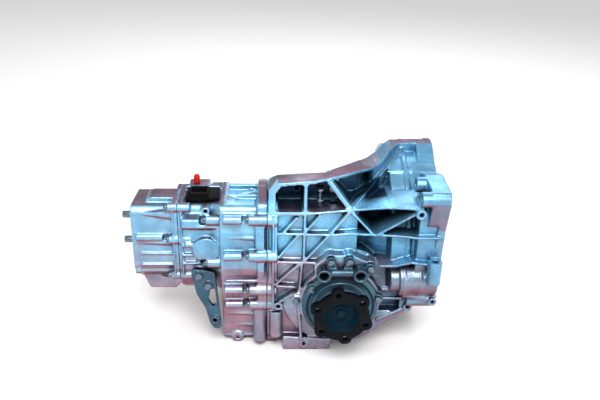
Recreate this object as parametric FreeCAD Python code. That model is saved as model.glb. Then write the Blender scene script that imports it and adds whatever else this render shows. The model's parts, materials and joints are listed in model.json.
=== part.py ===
import FreeCAD, Part
import math
import os

V = FreeCAD.Vector

# Frame: the origin is the input axis at the engine mating face, +X points at the engine,
# +Z up, and the side with the cooler ports looks along -Y.

# Stations along the input axis, measured back from the engine face
MAIN_JOINT = 314.0
CASE_LENGTH = 86.0
TRANSFER_LENGTH = 78.0
COVER_LENGTH = 88.0
CASE_END = MAIN_JOINT + CASE_LENGTH
TRANSFER_END = CASE_END + TRANSFER_LENGTH
COVER_END = TRANSFER_END + COVER_LENGTH

# Engine flange and bell
FLANGE_THICK = 14.0
BELL_RADIUS = 155.0
BELL_WALL = 12.0
COLLAR_LENGTH = 88.0
NECK_RADIUS = 95.0
NECK_START = 170.0
MOUTH_RADIUS = BELL_RADIUS - BELL_WALL
MOUTH_DEPTH = 62.0
SIDE_WALL_Y = 176.0
SIDE_WALL_LENGTH = 46.0
RIM_DEPTH = 32.0
BOSS_LENGTH = 50.0
TOP_BOSS_LENGTH = 64.0
BOSS_RADIUS = 14.0
ENGINE_HOLE = 6.25
DOWEL_RADIUS = 8.0
DOWEL_SEAT = DOWEL_RADIUS + 0.5
DOWEL_DEPTH = 16.0
DOWEL_REACH = 9.0
TOP_BOSS = (0.0, 160.0)
NEAR_SHOULDER = (-128.0, 136.0)
NEAR_CORNER = (-184.0, 132.0)
FAR_SHOULDER = (126.0, 97.0)
FAR_CORNER = (176.0, 67.0)
NEAR_LOWER = (-140.0, -98.0)
FAR_LOWER = (140.0, -98.0)
FLANGE_BOTTOM = 178.0

# Starter pocket on the near side of the bell
STARTER_Y = -150.0
STARTER_Z = -45.0
STARTER_RADIUS = 32.0
STARTER_BORE = 24.0
STARTER_LENGTH = 71.0
STARTER_NOSE = 16.0

# Rear half of the clutch housing
RIB_FACE = 150.0
PANEL_FACE = 137.0
POCKET_BACK = 95.0
FAR_FACE = 128.0
RIB = 4.5
SHELF_Z = 86.0
CREST_Z = 150.0
CREST_DEPTH = 32.0
BAND = 13.0
ROOF_Z = 104.0
FLOOR_Z = -217.0
LATTICE_ROW = 46.0
LATTICE_FOOT = -12.0
POST_X = -247.0
NODE_X = -166.0
NODE_Z = 95.0

# Shafts
SHAFT_DROP = 110.0
INPUT_TIP = 12.0
INPUT_RADIUS = 13.0
INPUT_NOSE = 50.0
CLUTCH_START = MAIN_JOINT - 48.0
CLUTCH_END = CLUTCH_START + 40.0
INPUT_LENGTH = CLUTCH_START - 4.0
RUN = 0.05

# Differential
DIFF_X = -178.0
DIFF_Z = -96.0
CHAMBER_RADIUS = 107.0
CHAMBER_WALL = 9.0
CHAMBER_HALF = 157.0
DRUM_HALF = CHAMBER_HALF - 23.0
COVER_DISC = 71.0
COVER_THICK = 11.0
SNOUT_RADIUS = 50.0
SNOUT_LENGTH = 19.0
FLANGE_FACE = CHAMBER_HALF + COVER_THICK + SNOUT_LENGTH + 18.0
FLANGE_PCD = 94.0
FLANGE_HOLES = 6
FLANGE_HOLE = 5.1
LOBE_RADIUS = 13.0
DISC_RADIUS = 51.0
FLANGE_PLATE = 11.0
FIRST_LOBE = 40.0
CUP_RADIUS = 32.0
CUP_DEPTH = 16.0
HUB_RADIUS = 29.0
HUB_END = CHAMBER_HALF + 4.0
STUB_RADIUS = 16.0
STUB_END = 40.0
SPIGOT = 62.0
SPIGOT_DEPTH = 12.0
SEAL_RADIUS = 36.0
SEAL_WIDTH = 12.0
SIDE_BEARING_RADIUS = 44.0
TRUNNION_RADIUS = 24.0
TRUNNION_END = CHAMBER_HALF - 1.0
CARRIER_RADIUS = 46.0
CARRIER_HALF = 60.0
PORT_SPREAD = 66.0
PORT_Z = 72.0
PORT_RADIUS = 13.5
PORT_BORE = 8.0
PORT_HEIGHT = 12.0

# Gear case
CASE_NEAR = 142.0
CASE_FAR = 128.0
CASE_TOP = 93.0
LIP = 10.0
LIP_LENGTH = 18.0
MAIN_BORE = 64.0
LAY_BORE = 78.0
WALL = 8.0

# Transfer housing and rear cover
TRANSFER_NEAR = 118.0
TRANSFER_TOP = 86.0
COVER_NEAR = 101.0
COVER_TOP = 74.0
REAR_BORE = 60.0
COVER_BORE = 44.0
REAR_WALL = 16.0
REAR_SHAFT_RADIUS = 18.0
REAR_BEARING_RADIUS = 36.0
REAR_FLANGE_RADIUS = 45.0
REAR_FLANGE_THICK = 9.0
REAR_FLANGE_PCD = 70.0
HEEL = 16.0
PIN_RADIUS = 6.5
PIN_REACH = 15.0
BRACKET_FACE = 118.0
BRACKET_EYE = (-TRANSFER_END + 64.0, -151.0)
BRACKET_THICK = 11.0

# Gear train
GEAR_WIDTH = 14.0
TOOTH = 4.5
PAIR_PLACES = (-MAIN_JOINT - 48.0, -MAIN_JOINT - 28.0)
FIRST_TEETH = (16, 28)
SECOND_TEETH = (22, 22)
TRANSFER_PLACE = -MAIN_JOINT - 68.0
TRANSFER_TEETH = (22, 22)
LAY_SHAFT_RADIUS = 16.0
MAIN_SHAFT_RADIUS = 14.0
PILOT_RADIUS = 9.0
CLUTCH_BORE = 68.0
CLUTCH_RADIUS = 64.0
TUNNEL = 30.0
INPUT_BORE = 22.0
RING_RADIUS = 84.0
RING_BACK = 46.0
RING_THICK = 20.0
RING_TEETH = 31
PINION_RADIUS = 19.0
PINION_TEETH = 8
PINION_X = DIFF_X - 67.0
PINION_LENGTH = 26.0

# Controls on the far side and the small parts of the deck
LEVER_X = -MAIN_JOINT - 52.0
LEVER_Z = -20.0
LEVER_RADIUS = 7.0
LEVER_LENGTH = 44.0
CONTROL_THICK = 8.0
CONTROL_TOP = -46.0
CONTROL_LOW = -158.0
TAPPED = 4.2
PLUG_X = -259.0
PLUG_Z = -91.0
PLUG_STAND = 7.0
PLUG_FACE = RIB_FACE + PLUG_STAND
CONNECTOR_DEPTH = 46.0
VENT_X = -218.0
VENT_Y = -103.0
VENT_LENGTH = 26.0
BREATHER_X = -449.0
BREATHER_Y = -24.0

# Fasteners
BOLT = 4.0
BOLT_HEAD = 6.5
HEAD_HEIGHT = 6.0
HOLE_GAP = 0.15
SPOT_RADIUS = 9.5


# Construction helpers

def on_x(p, at):
    return V(at, p[0], p[1])


def on_y(p, at):
    return V(p[0], at, p[1])


def on_z(p, at):
    return V(p[0], p[1], at)


def outline(points, place, at, radius):
    """Closed wire through the corners, each rounded as far as its sides allow."""
    edges = []
    starts = []
    count = len(points)
    for i in range(count):
        before, corner, after = (place(points[(i + k) % count], at) for k in (-1, 0, 1))
        to_before = before - corner
        to_after = after - corner
        turn = to_before.getAngle(to_after)
        reach = min(radius / math.tan(turn / 2), 0.45 * to_before.Length, 0.45 * to_after.Length)
        if radius == 0 or reach < 0.2:
            starts.append((corner, corner, None))
            continue
        round_radius = reach * math.tan(turn / 2)
        to_before.normalize()
        to_after.normalize()
        middle = to_before + to_after
        middle.normalize()
        top = corner + middle * (round_radius / math.sin(turn / 2) - round_radius)
        starts.append((corner + to_before * reach, corner + to_after * reach, top))
    for i in range(count):
        first, last, top = starts[i]
        if top is not None:
            edges.append(Part.Arc(first, top, last).toShape())
        following = starts[(i + 1) % count][0]
        edges.append(Part.LineSegment(last, following).toShape())
    return Part.Wire(edges)


def prism_x(points, x0, x1, radius=0.0):
    return Part.Face(outline(points, on_x, x0, radius)).extrude(V(x1 - x0, 0, 0))


def prism_y(points, y0, y1, radius=0.0):
    return Part.Face(outline(points, on_y, y0, radius)).extrude(V(0, y1 - y0, 0))


def prism_z(points, z0, z1, radius=0.0):
    return Part.Face(outline(points, on_z, z0, radius)).extrude(V(0, 0, z1 - z0))


def rod_x(x0, x1, y, z, radius):
    return Part.makeCylinder(radius, abs(x1 - x0), V(min(x0, x1), y, z), V(1, 0, 0))


def rod_y(y0, y1, x, z, radius):
    return Part.makeCylinder(radius, abs(y1 - y0), V(x, min(y0, y1), z), V(0, 1, 0))


def rod_z(z0, z1, x, y, radius):
    return Part.makeCylinder(radius, abs(z1 - z0), V(x, y, min(z0, z1)), V(0, 0, 1))


def turned(profile, base, axis):
    """Solid of revolution from (distance along the axis, radius) corners."""
    points = [V(0, r, a) for a, r in profile]
    face = Part.Face(Part.makePolygon(points + [points[0]]))
    solid = face.revolve(V(0, 0, 0), V(0, 0, 1), 360)
    solid.Placement = FreeCAD.Placement(base, FreeCAD.Rotation(V(0, 0, 1), axis))
    return solid


def ring(base, axis, outer, inner, length):
    return turned([(0, inner), (0, outer), (length, outer), (length, inner)], base, axis)


def strip(path, width):
    """Corner list of a flat strip of the given width that follows a path."""
    left = []
    right = []
    for i, (a, b) in enumerate(path):
        before = path[max(i - 1, 0)]
        after = path[min(i + 1, len(path) - 1)]
        da, db = after[0] - before[0], after[1] - before[1]
        size = math.hypot(da, db)
        left.append((a - db / size * width / 2, b + da / size * width / 2))
        right.append((a + db / size * width / 2, b - da / size * width / 2))
    return left + right[::-1]


def rib_y(path, y0, y1, width=RIB):
    return prism_y(strip(path, width), y0, y1)


def rib_x(path, x0, x1, width=RIB):
    return prism_x(strip(path, width), x0, x1)


def merged(shape):
    """Joins faces that lie in one surface, where the result stays sound."""
    joined = shape.removeSplitter()
    return joined if joined.isValid() else shape


def fuse(*shapes):
    return merged(shapes[0].multiFuse(list(shapes[1:])))


def cut(shape, *tools):
    return merged(shape.cut(list(tools)))


def mirrored(shape):
    return shape.mirror(V(0, 0, 0), V(0, 1, 0))


def hexagon(base, axis, across, height):
    corners = [V(across / math.sqrt(3) * math.cos(k * math.pi / 3),
                 across / math.sqrt(3) * math.sin(k * math.pi / 3), 0) for k in range(7)]
    head = Part.Face(Part.makePolygon(corners)).extrude(V(0, 0, height))
    head.Placement = FreeCAD.Placement(base, FreeCAD.Rotation(V(0, 0, 1), axis))
    return head


def bolt(seat, axis, length, size=BOLT):
    """Hexagon bolt whose head stands on the seat and whose shank runs against the axis."""
    head = hexagon(seat, axis, 2 * BOLT_HEAD * size / BOLT, HEAD_HEIGHT * size / BOLT)
    return head.fuse(Part.makeCylinder(size, length, seat, axis * -1))


def bolt_hole(seat, axis, length, size=BOLT):
    return Part.makeCylinder(size + HOLE_GAP, length + 1, seat, axis * -1)


def spot_face(seat, axis):
    """Room that the cutter clears round a bolt head."""
    return Part.makeCylinder(SPOT_RADIUS, HEAD_HEIGHT + 6, seat, axis)


def spur_gear(x, z, teeth, pitch, bore, turn=0.0, width=GEAR_WIDTH):
    """Spur gear about an axis along X, its first tooth at the given turn from +Z."""
    radius = teeth * pitch
    step = 2 * math.pi / teeth
    shape = ((-0.34, -TOOTH * 1.15), (-0.14, TOOTH * 0.9), (0.14, TOOTH * 0.9), (0.34, -TOOTH * 1.15))
    points = []
    for k in range(teeth):
        for share, rise in shape:
            angle = turn + (k + share * 0.8) * step
            points.append(((radius + rise) * math.sin(angle), z + (radius + rise) * math.cos(angle)))
    blank = prism_x(points, x - width / 2, x + width / 2)
    return blank.cut(rod_x(x - width, x + width, 0, z, bore)) if bore else blank


def pair_pitch(teeth):
    return SHAFT_DROP / (teeth[0] + teeth[1])


# Outlines that neighbouring castings share

def case_outline(grow):
    near, far, top, low = CASE_NEAR + grow, CASE_FAR + grow, CASE_TOP + grow, -FLOOR_Z
    return [(-near + 12, top), (-30, top - 5), (20, top - 23), (66, top - 47), (far - 12, top - 79),
            (far, top - 109), (far, -low + 60), (far - 24, -low), (-near + 36, -low),
            (-near + 28, -low + 62), (-near + 12, -75), (-near, -30), (-near, top - 48)]


def transfer_outline(grow):
    near, top = TRANSFER_NEAR + grow, TRANSFER_TOP + min(grow, 1)
    return [(-near + 12, top), (-10, top), (26, top - 22), (66, top - 48), (near - 8, top - 78),
            (near - 4, -70), (62, -134 - grow), (-42, -134 - grow), (-near + 18, -92), (-near, -48),
            (-near, top - 30)]


def cover_outline(grow):
    near, top = COVER_NEAR + grow, COVER_TOP + grow
    return [(-near + 10, top + 2), (0, top - 8), (40, top - 30), (near - 2, top - 70), (near - 4, -58),
            (48, -112 - grow), (-30, -112 - grow), (-near + 16, -70), (-near, -52), (-near, top - 10)]


def rear_axes():
    return ((0, 0, MAIN_BORE), (0, -SHAFT_DROP, LAY_BORE))


ENGINE_BOSSES = [TOP_BOSS, NEAR_SHOULDER, NEAR_CORNER, FAR_SHOULDER, FAR_CORNER, NEAR_LOWER, FAR_LOWER]
DOWEL_HOLES = [FAR_SHOULDER, NEAR_LOWER]
MAIN_BOLTS = [(-CASE_NEAR - 4, 73), (-CASE_NEAR - 8, 1), (-CASE_NEAR + 4, -78), (-CASE_NEAR + 16, -118),
              (CASE_FAR - 18, 6), (CASE_FAR - 4, -186)]
TRANSFER_BOLTS = [(-TRANSFER_NEAR - 2, 60), (-TRANSFER_NEAR - 2, -30), (TRANSFER_NEAR - 8, -40), (46, 50)]
COVER_BOLTS = [(-COVER_NEAR - 8, 80), (-COVER_NEAR - 8, 14), (-COVER_NEAR - 6, -64), (COVER_NEAR + 4, 0)]
DIFF_BOLTS = [(96, 102), (96, 82), (96, 57), (72, 12), (66, 144)]
CONTROL_BOLTS = [(LEVER_X + x, z) for x in (-18, 20) for z in (CONTROL_TOP - 10, CONTROL_LOW + 10)]
BRACKET_BOLTS = [(BRACKET_EYE[0] - 28, BRACKET_EYE[1] + 100), (BRACKET_EYE[0] - 11, BRACKET_EYE[1] + 78)]
REAR_PINS = [(-88, 55), (-90, 4)]


def diff_point(radius, degrees):
    angle = math.radians(degrees)
    return DIFF_X + radius * math.cos(angle), DIFF_Z + radius * math.sin(angle)


# Castings

def bell():
    """Collar, cone and neck about the input axis."""
    profile = [(0, 0), (0, BELL_RADIUS), (-COLLAR_LENGTH, BELL_RADIUS),
               (-COLLAR_LENGTH - 5, BELL_RADIUS - 24), (-COLLAR_LENGTH - 43, NECK_RADIUS + 12),
               (-NECK_START, NECK_RADIUS), (-NECK_START, 0)]
    return turned(profile, V(0, 0, 0), V(1, 0, 0))


def engine_flange():
    """Plate of the near and the lower far outline, a deeper rim at the top and a tube for each bolt."""
    top = TOP_BOSS[1] + BOSS_RADIUS - 2
    near = [(-14, top), (-34, 160), (-66, 134), (-118, 151), (-190, 147), (-199, 131), (-181, 70), (-174, 8),
            (-173, -42), (-156, -100), (-128, -122), (-70, -160), (-30, -FLANGE_BOTTOM)]
    far = [(30, -FLANGE_BOTTOM), (70, -160), (128, -122), (156, -100), (173, -42), (174, 8), (186, 40),
           (196, 66), (190, 84), (140, 106), (104, 124), (66, 138), (34, 157), (14, top)]
    rim = [(0, top), (-14, top), (-34, 160), (-66, 134), (-118, 151), (-190, 147), (-199, 131), (-183, 78),
           (-172, 78), (-160, 112), (-66, 118), (0, 140)]
    bosses = [rod_x(-BOSS_LENGTH, 0, y, z, BOSS_RADIUS) for y, z in ENGINE_BOSSES[1:]]
    bosses.append(rod_x(-TOP_BOSS_LENGTH, 0, TOP_BOSS[0], TOP_BOSS[1], BOSS_RADIUS))
    return [prism_x(near + far, -FLANGE_THICK, 0, 9), prism_x(rim, -RIM_DEPTH, 0, 5)] + bosses


def side_walls():
    """Walls that carry the flange on either side of the collar, the rib lands on them."""
    near = [(-SIDE_WALL_Y, 116), (-SIDE_WALL_Y + 4, -2), (-SIDE_WALL_Y + 6, -40), (-140, -110), (-90, -110),
            (-90, 116)]
    far = [(SIDE_WALL_Y, 72), (SIDE_WALL_Y - 4, -2), (SIDE_WALL_Y - 6, -40), (140, -110), (90, -110),
           (90, 84), (130, 84)]
    return [prism_x(near, -SIDE_WALL_LENGTH, 0, 8), prism_x(far, -SIDE_WALL_LENGTH, 0, 8)]


def rib_envelope():
    """Plan shape that every rib on the long side ends on."""
    plan = [(-MAIN_JOINT, -RIB_FACE), (NODE_X, -RIB_FACE - 2), (-SIDE_WALL_LENGTH, -SIDE_WALL_Y - 8),
            (-8, -SIDE_WALL_Y - 8), (-8, -40), (-MAIN_JOINT, -40)]
    return prism_z(plan, FLOOR_Z, CREST_Z + 30)


def bell_ribs():
    paths = [
        [(NODE_X, NODE_Z - 2), (-123, 50)],
        [(-117, 53), (-42, 113)],
        [(POST_X, LATTICE_ROW - 1), (-195, 45), (-81, 55), (-8, 56)],
        [(-110, -11), (-81, -6), (-54, 5), (-14, 1)],
        [(NODE_X, NODE_Z), (-105, 108), (-42, 113)],
    ]
    return fuse(*[rib_y(path, -SIDE_WALL_Y - 20, -60) for path in paths]).common(rib_envelope())


def far_bell_ribs():
    """Lower ribs of the far side, which stay under the sweep of the top."""
    paths = [
        [(-118, 36), (-40, 66)],
        [(-240, 6), (-150, 16), (-81, 32), (-8, 36)],
        [(-110, -32), (-81, -26), (-54, -14), (-14, -18)],
    ]
    return mirrored(fuse(*[rib_y(path, -SIDE_WALL_Y - 20, -60) for path in paths]).common(rib_envelope()))


def lattice():
    paths = [
        [(-MAIN_JOINT, SHELF_Z), (POST_X, SHELF_Z), (NODE_X, NODE_Z)],
        [(-MAIN_JOINT, LATTICE_ROW), (POST_X, LATTICE_ROW)],
        [(-MAIN_JOINT, LATTICE_FOOT), (-212, LATTICE_FOOT - 2)],
        [(POST_X, SHELF_Z), (POST_X, LATTICE_FOOT)],
        [(-261, 79), (-285, 49)],
        [(-258, 43), (-296, -6)],
        [(-219, 84), (-246, 50)],
        [(NODE_X - 2, NODE_Z - 4), (-203, 43), (-244, -8)],
        [(-256, -18), (-300, -62)],
        [(-250, -16), (-253, -62), (-257, -96)],
        [(-262, -66), (-298, -64)],
        [(-262, -78), (-292, -100)],
        [(-257, -96), (-252, -139), (-247, -200)],
    ]
    return fuse(*[rib_y(path, -RIB_FACE - 10, -PANEL_FACE + 15) for path in paths]).common(rib_envelope())


def crest():
    """Raised truss along the top edge, open to the near side in three windows."""
    joint, neck = -MAIN_JOINT, -200
    plan = [(joint, -RIB_FACE), (-232, -RIB_FACE), (neck, -RIB_FACE + 12), (neck, -40), (joint, -40)]
    side = [(joint + 2, SHELF_Z), (joint + 2, 122), (-296, CREST_Z - 4), (POST_X, CREST_Z),
            (neck, CREST_Z + 3), (neck, SHELF_Z)]
    roof = [(-RIB_FACE, SHELF_Z), (-RIB_FACE, CREST_Z + 20), (-RIB_FACE + CREST_DEPTH, CREST_Z + 20),
            (-RIB_FACE + CREST_DEPTH + 8, CREST_Z - 4), (-40, ROOF_Z), (-40, SHELF_Z)]
    rear = prism_z(plan, SHELF_Z - 4, 175).common(prism_y(side, -RIB_FACE - 5, -30)).common(
        prism_x(roof, joint, neck))
    sweep_plan = [(neck - 4, -RIB_FACE + 11), (-172, -121), (-124, -89), (-100, -66), (-64, -20), (-30, -14),
                  (-30, 2), (-82, 2), (-97, -4), (-112, -18), (-135, -44), (-160, -66), (neck - 4, -104)]
    sweep_side = [(neck - 4, 92), (neck - 4, CREST_Z + 3), (-124, CREST_Z + 1), (-108, CREST_Z + 4),
                  (-92, CREST_Z + 16), (-80, CREST_Z + 23), (-30, CREST_Z + 23), (-30, 120), (-124, 92)]
    sweep = prism_z(sweep_plan, 90, 190).common(prism_y(sweep_side, -RIB_FACE - 5, 20, 5))
    first = [(-300, SHELF_Z + 4), (-300, 126), (-290, CREST_Z - 10), (POST_X - 3, CREST_Z - 6),
             (POST_X - 3, SHELF_Z + 4)]
    second = [(POST_X + 3, SHELF_Z + 4), (POST_X + 3, CREST_Z - 6), (-211, CREST_Z - 3), (-176, NODE_Z + 3),
              (-192, SHELF_Z + 4)]
    third = [(-203, CREST_Z - 4), (-92, CREST_Z - 7), (-92, CREST_Z - 12), (-164, NODE_Z + 5)]
    third_plan = [(-230, -165), (-187, -165), (-94, -47), (-102, -42), (-150, -88), (-230, -88)]
    windows = [
        prism_y(first, -RIB_FACE - 5, -POCKET_BACK, 5),
        prism_y(second, -RIB_FACE - 5, -POCKET_BACK, 5),
        prism_y(third, -RIB_FACE - 15, -30).common(prism_z(third_plan, 90, 155)),
    ]
    tie = rib_y([(NODE_X, NODE_Z - 2), (neck - 6, CREST_Z - 2)], -RIB_FACE + 2, -POCKET_BACK, 8)
    band_plan = prism_z(strip([(NODE_X, -RIB_FACE + 1), (-62, -18)], BAND), 70, 190)
    band_side = [(NODE_X - 9, NODE_Z - 8), (NODE_X - 9, NODE_Z + 4), (NODE_X + 2, NODE_Z + 6), (-50, 170),
                 (-50, 120), (-130, 80)]
    band = band_plan.common(prism_y(band_side, -RIB_FACE - 10, 0))
    return fuse(rear.fuse(sweep).cut(windows), tie, band)


def core():
    """Long box behind the bell, closed over the clutch and the differential."""
    near, far, low = PANEL_FACE, FAR_FACE, -FLOOR_Z
    section = [(-near, SHELF_Z), (-POCKET_BACK, SHELF_Z), (-POCKET_BACK, ROOF_Z), (-40, ROOF_Z),
               (4, ROOF_Z - 20), (60, ROOF_Z - 48), (far - 20, ROOF_Z - 74), (far, 0), (far, -100),
               (far - 6, -low + 27), (far - 26, -low), (-near + 32, -low), (-near + 14, -low + 24),
               (-near + 6, -130), (-near, -60)]
    return prism_x(section, -MAIN_JOINT, -150, 6)


def chamber():
    """Drum about the wheel axis, with the belly that runs forward to the flange."""
    drum = rod_y(-DRUM_HALF, DRUM_HALF, DIFF_X, DIFF_Z, CHAMBER_RADIUS)
    seat = rod_y(-CHAMBER_HALF, CHAMBER_HALF, DIFF_X, DIFF_Z, COVER_DISC + 5)
    places = [diff_point(*p) for p in DIFF_BOLTS]
    bosses = [rod_y(-CHAMBER_HALF, CHAMBER_HALF, x, z, 10) for x, z in places]
    pad = prism_y([(DIFF_X - 46, DIFF_Z + 40), (DIFF_X - 50, DIFF_Z + 80), (DIFF_X - 24, DIFF_Z + 102),
                   (DIFF_X + 20, DIFF_Z + 102), (DIFF_X + 56, DIFF_Z + 84), (DIFF_X + 46, DIFF_Z + 40)],
                  -CHAMBER_HALF, CHAMBER_HALF, 8)
    belly = prism_y([(DIFF_X, -200), (-112, -176), (-55, -138), (-30, -112), (-30, -50), (DIFF_X, -50)],
                    -136, 136, 10)
    keel = prism_y([(-MAIN_JOINT + 20, FLOOR_Z), (-132, FLOOR_Z), (-112, -185), (-MAIN_JOINT + 20, -185)],
                   -92, 92, 6)
    return [drum, seat, pad, belly, keel] + bosses


def starter_pocket():
    body = rod_x(-STARTER_LENGTH, -2, STARTER_Y, STARTER_Z, STARTER_RADIUS)
    nose = rod_x(-STARTER_LENGTH - STARTER_NOSE, -STARTER_LENGTH, STARTER_Y, STARTER_Z, STARTER_RADIUS - 8)
    web = prism_x([(STARTER_Y, STARTER_Z + 24), (-90, STARTER_Z + 40), (-90, STARTER_Z - 50),
                   (STARTER_Y, STARTER_Z - 24)], -STARTER_LENGTH, -2, 4)
    return [body, nose, web]


def near_bosses():
    """Small bosses of the near side: (x, z, radius, face)."""
    lugs = [(PLUG_X, PLUG_Z, 10, PLUG_FACE), (-293, -111, 9, 147), (-47, 103, 10, 187), (-45, -116, 9, 144),
            (-243, -203, 10, 141)]
    return [(x, z, r, face, rod_y(-face, -face + 40, x, z, r)) for x, z, r, face in lugs]


def parting_lip(x0, x1):
    return prism_x(case_outline(LIP), x0, x1, 12)


def clutch_housing():
    lip = parting_lip(-MAIN_JOINT, -MAIN_JOINT + LIP_LENGTH)
    tail = rod_z(-34, 12, -14, -187, 13)
    column = rod_z(FLOOR_Z + 30, -128, -MAIN_JOINT + 17, -131, 12)
    lower_band = prism_y([(-283, -186), (-190, -192), (-190, FLOOR_Z), (-283, FLOOR_Z)], -139, -60, 3)
    bosses = near_bosses()
    heads = [rod_x(-MAIN_JOINT, -MAIN_JOINT + LIP_LENGTH, y, z, 11) for y, z in MAIN_BOLTS]
    shell = fuse(*heads, bell(), core(), crest(), lattice(), bell_ribs(), far_bell_ribs(), lip, tail, column,
                 lower_band, *engine_flange(), *side_walls(), *chamber(), *starter_pocket())
    solid = fuse(shell, *[b[4] for b in bosses])
    depth = CHAMBER_HALF + 1
    mouth = [(1, 0), (1, MOUTH_RADIUS), (-MOUTH_DEPTH + 14, MOUTH_RADIUS),
             (-MOUTH_DEPTH, MOUTH_RADIUS - 22), (-MOUTH_DEPTH, 0)]
    voids = [
        turned(mouth, V(0, 0, 0), V(1, 0, 0)),
        rod_y(-depth, depth, DIFF_X, DIFF_Z, SPIGOT),
        rod_y(-60, 75, DIFF_X, DIFF_Z, CHAMBER_RADIUS - CHAMBER_WALL),
        rod_x(-MAIN_JOINT - 1, -INPUT_LENGTH, 0, 0, CLUTCH_BORE),
        rod_x(-MAIN_JOINT - 1, DIFF_X - 60, 0, -SHAFT_DROP, TUNNEL),
        rod_x(-INPUT_LENGTH - 1, -MOUTH_DEPTH + 1, 0, 0, INPUT_BORE),
        rod_x(-STARTER_LENGTH + 10, 1, STARTER_Y, STARTER_Z, STARTER_BORE),
        rod_z(-40, 20, -14, -187, 5.5),
    ]
    voids += [rod_x(-TOP_BOSS_LENGTH - 1, 1, y, z, ENGINE_HOLE)
              for y, z in ENGINE_BOSSES if (y, z) not in DOWEL_HOLES]
    voids += [rod_x(-DOWEL_DEPTH, 1, y, z, DOWEL_SEAT) for y, z in DOWEL_HOLES]
    voids += [rod_y(-face - 1, -face + 18, x, z, TAPPED) for x, z, r, face, solid_boss in bosses]
    voids += [bolt_hole(V(-MAIN_JOINT, y, z), V(-1, 0, 0), 16) for y, z in MAIN_BOLTS]
    for side in (-1, 1):
        voids += [bolt_hole(V(x, side * CHAMBER_HALF, z), V(0, side, 0), 14)
                  for x, z in (diff_point(*p) for p in DIFF_BOLTS)]
    return cut(solid, *voids)


def gear_case():
    body = prism_x(case_outline(0), -CASE_END, -MAIN_JOINT, 14)
    lip = parting_lip(-MAIN_JOINT - LIP_LENGTH, -MAIN_JOINT)
    rear_lip = prism_x(transfer_outline(8), -CASE_END, -CASE_END + 12, 12)
    tubes = [rod_x(-CASE_END + 6, -MAIN_JOINT, y, z, 9) for y, z in MAIN_BOLTS[:4]]
    heads = [rod_x(-MAIN_JOINT - 34, -MAIN_JOINT, y, z, 11) for y, z in MAIN_BOLTS]
    column = rod_z(FLOOR_Z + 12, -120, -MAIN_JOINT - 14, -120, 13)
    lever_boss = rod_y(CASE_FAR - 30, CASE_FAR + 10, LEVER_X, LEVER_Z, 13)
    foot_lug = rod_y(-112, -80, -372, FLOOR_Z + 12, 12)
    ribs = [rib_x([(y, CASE_TOP - 8), (y, CASE_TOP + 7)], -CASE_END + 14, -MAIN_JOINT) for y in (-96, -52)]
    ribs += [rib_x([(y, z), (y + 26, z)], -CASE_END + 6, -MAIN_JOINT, 12) for y, z in MAIN_BOLTS[:4]]
    solid = fuse(body, lip, rear_lip, column, foot_lug, lever_boss, *tubes, *heads, *ribs)
    voids = [rod_x(-CASE_END + WALL, -MAIN_JOINT + 1, y, z, r) for y, z, r in rear_axes()]
    voids += [rod_x(-CASE_END - 1, -CASE_END + WALL + 1, 0, 0, REAR_BEARING_RADIUS),
              rod_x(-CASE_END - 1, -CASE_END + WALL + 1, 0, -SHAFT_DROP, TUNNEL),
              rod_y(CASE_FAR - 70, CASE_FAR + 30, LEVER_X, LEVER_Z, LEVER_RADIUS + RUN)]
    voids += [spot_face(V(-MAIN_JOINT - 34, y, z), V(-1, 0, 0)) for y, z in MAIN_BOLTS]
    voids += [bolt_hole(V(-MAIN_JOINT - 34, y, z), V(-1, 0, 0), 34) for y, z in MAIN_BOLTS]
    voids += [bolt_hole(V(-CASE_END, y, z), V(-1, 0, 0), 11) for y, z in TRANSFER_BOLTS]
    voids += [bolt_hole(V(x, CASE_FAR, z), V(0, 1, 0), 14) for x, z in CONTROL_BOLTS]
    return cut(solid, *voids)


def transfer_housing():
    near = -TRANSFER_NEAR
    body = prism_x(transfer_outline(-4), -TRANSFER_END, -CASE_END, 12)
    skirt = Part.makeLoft([outline(transfer_outline(8), on_x, -CASE_END, 12),
                           outline(transfer_outline(-3), on_x, -CASE_END - 18, 12)], True, True)
    rear_lip = prism_x(cover_outline(12), -TRANSFER_END, -TRANSFER_END + 10, 12)
    ridge = prism_x([(near + 8, 66), (near - 6, 60), (near - 6, 44), (near + 8, 34)],
                    -TRANSFER_END + 8, -CASE_END - 6)
    dome = rod_y(near - 7, near + 20, -427, -2, 25)
    ribs = [rib_y([(-TRANSFER_END + 6, z), (-TRANSFER_END + 50, z)], near - 2, near + 20, 5)
            for z in (5, -15, -33)]
    ribs.append(rib_y([(-442, 5), (-442, -28)], near - 2, near + 20, 5))
    deck = rib_x([(-40, TRANSFER_TOP - 8), (-40, TRANSFER_TOP + 6)], -TRANSFER_END + 10, -CASE_END - 4)
    bosses = [rod_x(-TRANSFER_END, -TRANSFER_END + 23, y, z, 9) for y, z in COVER_BOLTS]
    heads = [rod_x(-CASE_END - 26, -CASE_END, y, z, 10) for y, z in TRANSFER_BOLTS]
    pads = [rod_y(-BRACKET_FACE, -80, x, z, 10) for x, z in BRACKET_BOLTS]
    solid = fuse(body, skirt, rear_lip, ridge, dome, deck, *ribs, *bosses, *heads, *pads)
    voids = [rod_x(-TRANSFER_END - 1, -CASE_END + 1, 0, 0, REAR_BORE),
             rod_x(-CASE_END - 18, -CASE_END + 1, 0, -SHAFT_DROP, TUNNEL)]
    voids += [bolt_hole(V(-CASE_END - 26, y, z), V(-1, 0, 0), 26) for y, z in TRANSFER_BOLTS]
    voids += [spot_face(V(-CASE_END - 26, y, z), V(-1, 0, 0)) for y, z in TRANSFER_BOLTS]
    voids += [bolt_hole(V(-TRANSFER_END, y, z), V(-1, 0, 0), 16) for y, z in COVER_BOLTS]
    voids += [bolt_hole(V(x, -BRACKET_FACE, z), V(0, -1, 0), 16) for x, z in BRACKET_BOLTS]
    return cut(solid, *voids)


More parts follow.
